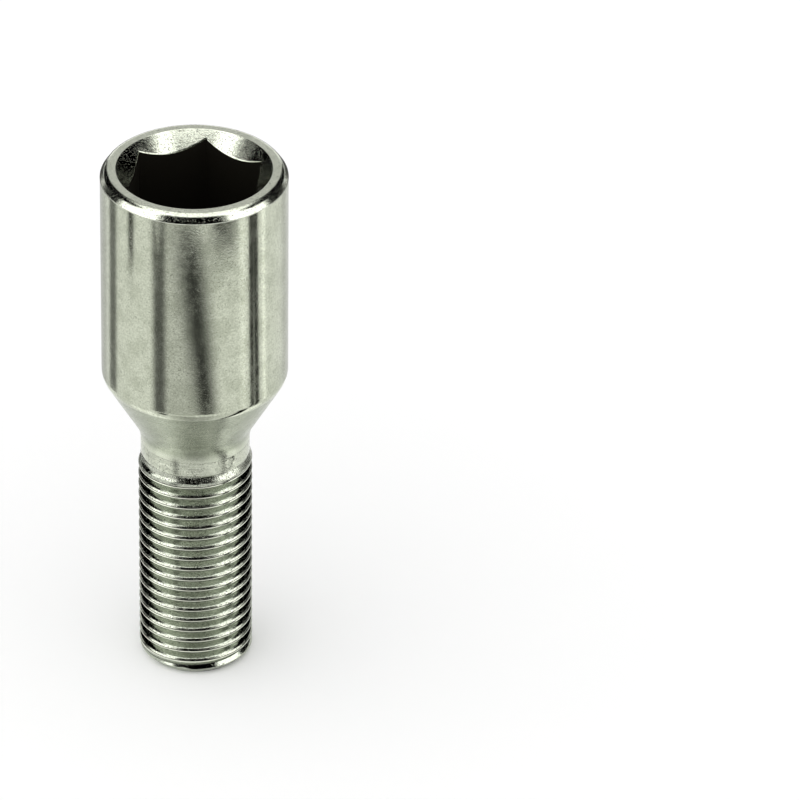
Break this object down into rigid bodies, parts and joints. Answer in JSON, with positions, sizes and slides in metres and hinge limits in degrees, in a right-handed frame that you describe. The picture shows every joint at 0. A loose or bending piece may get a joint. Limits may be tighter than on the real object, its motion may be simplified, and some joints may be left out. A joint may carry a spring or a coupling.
{
  "type": "wheel bolt",
  "caption": "Wheel bolt with a long round head, hexagon socket, conical seat, short plain neck and threaded shank.",
  "frame": {"origin": "centre of the shank's flat end face, on which the bolt stands", "axes": "+Z along the bolt's axis from the thread towards the head, +Y through a corner of the hexagon socket"},
  "size_m": [0.0228, 0.0228, 0.0689],
  "materials": {
    "plated_steel": "bright plating over turned and rolled steel, slightly warm grey, with fine pits and turning marks"
  },
  "bodies": {
    "root": {"wheel_bolt": "plated_steel"}
  },
  "joints": []
}
